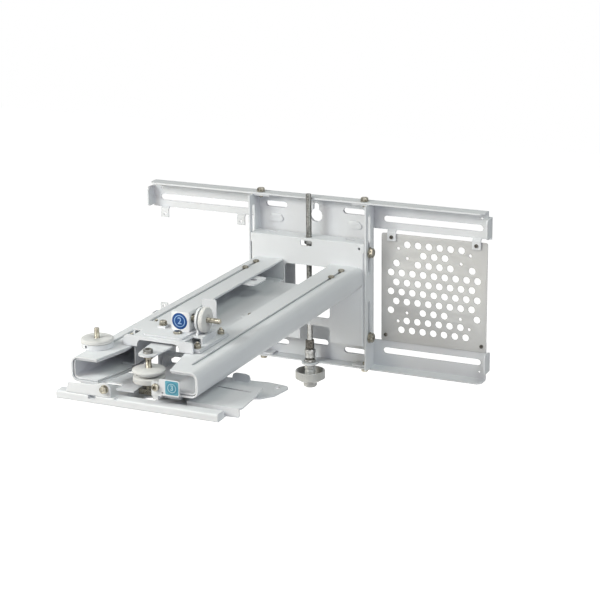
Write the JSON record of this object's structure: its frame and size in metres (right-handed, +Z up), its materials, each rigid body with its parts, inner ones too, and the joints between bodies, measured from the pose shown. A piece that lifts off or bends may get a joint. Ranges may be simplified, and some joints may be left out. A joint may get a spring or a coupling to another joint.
{
  "type": "projector wall mount",
  "caption": "Wall bracket with a lift carriage, a sliding double arm and a plate that swivels, tilts and rolls to carry a projector over a screen",
  "frame": {"origin": "on the back face of the upper rail, at the wall, in the middle of the bracket's width", "axes": "+X to the right along the wall, +Y into the wall, so the arm reaches out to -Y, +Z up"},
  "size_m": [0.496, 0.5098, 0.269],
  "materials": {
    "coat": "satin white powder coat",
    "screw_steel": "plain zinc",
    "dark_steel": "plain threaded steel",
    "dial_coat": "satin"
  },
  "bodies": {
    "wall": {"wall_rail_top": "coat", "wall_rail_bottom": "coat", "device_plate": "coat", "column_frame": "coat", "rail_bolt_top_left": "screw_steel", "rail_bolt_top_right": "screw_steel", "rail_bolt_bottom_left": "screw_steel", "rail_bolt_bottom_right": "screw_steel", "lift_bush": "dark_steel"},
    "lift_screw": {"lift_rod": "dark_steel", "rod_sleeve": "dark_steel", "rod_lock_nut": "dark_steel", "rod_collar": "dark_steel", "lift_knob": "dial_coat"},
    "carriage": {"lift_carriage": "coat", "lift_nut": "dark_steel", "lock_bolt_upper_left": "screw_steel", "lock_bolt_upper_right": "screw_steel", "lock_bolt_lower_left": "screw_steel", "lock_bolt_lower_right": "screw_steel", "arm_channel_left": "coat", "arm_channel_right": "coat", "slide_lock_base": "coat", "slide_lock_stud": "screw_steel"},
    "slide_lock": {"slide_lock_nut": "dial_coat"},
    "slide": {"slide_channel_left": "coat", "slide_channel_right": "coat", "guide_screw_rear_left": "screw_steel", "guide_screw_front_left": "screw_steel", "guide_screw_rear_right": "screw_steel", "guide_screw_front_right": "screw_steel", "floor_plate": "coat", "floor_plate_screw": "screw_steel", "bridge_hanger_left": "coat", "bridge_hanger_right": "coat", "bridge_bracket": "coat", "bridge_screw_front_left": "screw_steel", "bridge_screw_rear_left": "screw_steel", "bridge_screw_front_right": "screw_steel", "bridge_screw_rear_right": "screw_steel"},
    "swivel": {"swivel_plate": "coat", "swivel_plate_bolt": "screw_steel", "swivel_post_bolt": "screw_steel", "swivel_yoke": "coat", "swivel_pin": "screw_steel", "tilt_pin": "screw_steel"},
    "swivel_dial": {"swivel_dial": "dial_coat", "swivel_stud": "screw_steel"},
    "tilt_dial": {"tilt_dial": "dial_coat", "tilt_disc": "dial_coat", "tilt_stud": "screw_steel", "tilt_stud_nut": "screw_steel"},
    "tilt": {"tilt_plate": "coat", "tilt_trunnion": "screw_steel", "roll_pin": "screw_steel", "roll_bracket": "coat"},
    "roll_screw": {"roll_screw": "screw_steel"},
    "roll": {"projector_plate": "coat", "front_bracket": "coat", "front_bracket_bolt": "screw_steel"}
  },
  "joints": [
    {"name": "lift_slide", "type": "slide", "parent": "wall", "child": "carriage", "axis": [0, 0, 1], "range_m": [0, 0.045]},
    {"name": "lift_screw_spin", "type": "hinge", "parent": "wall", "child": "lift_screw", "pos_m": [0, -0.025, -0.107], "axis": [0, 0, 1], "range_deg": [-13200, 10]},
    {"name": "arm_slide", "type": "slide", "parent": "carriage", "child": "slide", "axis": [0, -1, 0], "range_m": [0, 0.24]},
    {"name": "slide_lock_spin", "type": "hinge", "parent": "carriage", "child": "slide_lock", "pos_m": [-0.07, -0.457, -0.067], "axis": [0, 0, 1], "range_deg": [0, 720]},
    {"name": "swivel", "type": "hinge", "parent": "slide", "child": "swivel", "pos_m": [0.004, -0.378, -0.065], "axis": [0, 0, 1], "range_deg": [-2, 2]},
    {"name": "swivel_dial_spin", "type": "hinge", "parent": "slide", "child": "swivel_dial", "pos_m": [0.03, -0.402, -0.0475], "axis": [1, 0, 0], "range_deg": [-250, 250]},
    {"name": "tilt", "type": "hinge", "parent": "swivel", "child": "tilt", "pos_m": [0.004, -0.392, -0.098], "axis": [1, 0, 0], "range_deg": [-2.5, 2.5]},
    {"name": "tilt_dial_spin", "type": "hinge", "parent": "swivel", "child": "tilt_dial", "pos_m": [0.004, -0.47, -0.097], "axis": [0, 0, 1], "range_deg": [-1000, 1000]},
    {"name": "roll", "type": "hinge", "parent": "tilt", "child": "roll", "pos_m": [0.004, -0.43, -0.1196], "axis": [0, 1, 0], "range_deg": [-2.5, 2.5]},
    {"name": "roll_screw_spin", "type": "hinge", "parent": "tilt", "child": "roll_screw", "pos_m": [0.0316, -0.503, -0.0974], "axis": [0, 1, 0], "range_deg": [-400, 400]}
  ],
  "couplings": [
    {"joint": "lift_screw_spin", "follows": "lift_slide", "rad_per_m": -5026.5},
    {"joint": "swivel_dial_spin", "follows": "swivel", "ratio": 120.64},
    {"joint": "tilt_dial_spin", "follows": "tilt", "ratio": 392.07},
    {"joint": "roll_screw_spin", "follows": "roll", "ratio": 157.08}
  ]
}
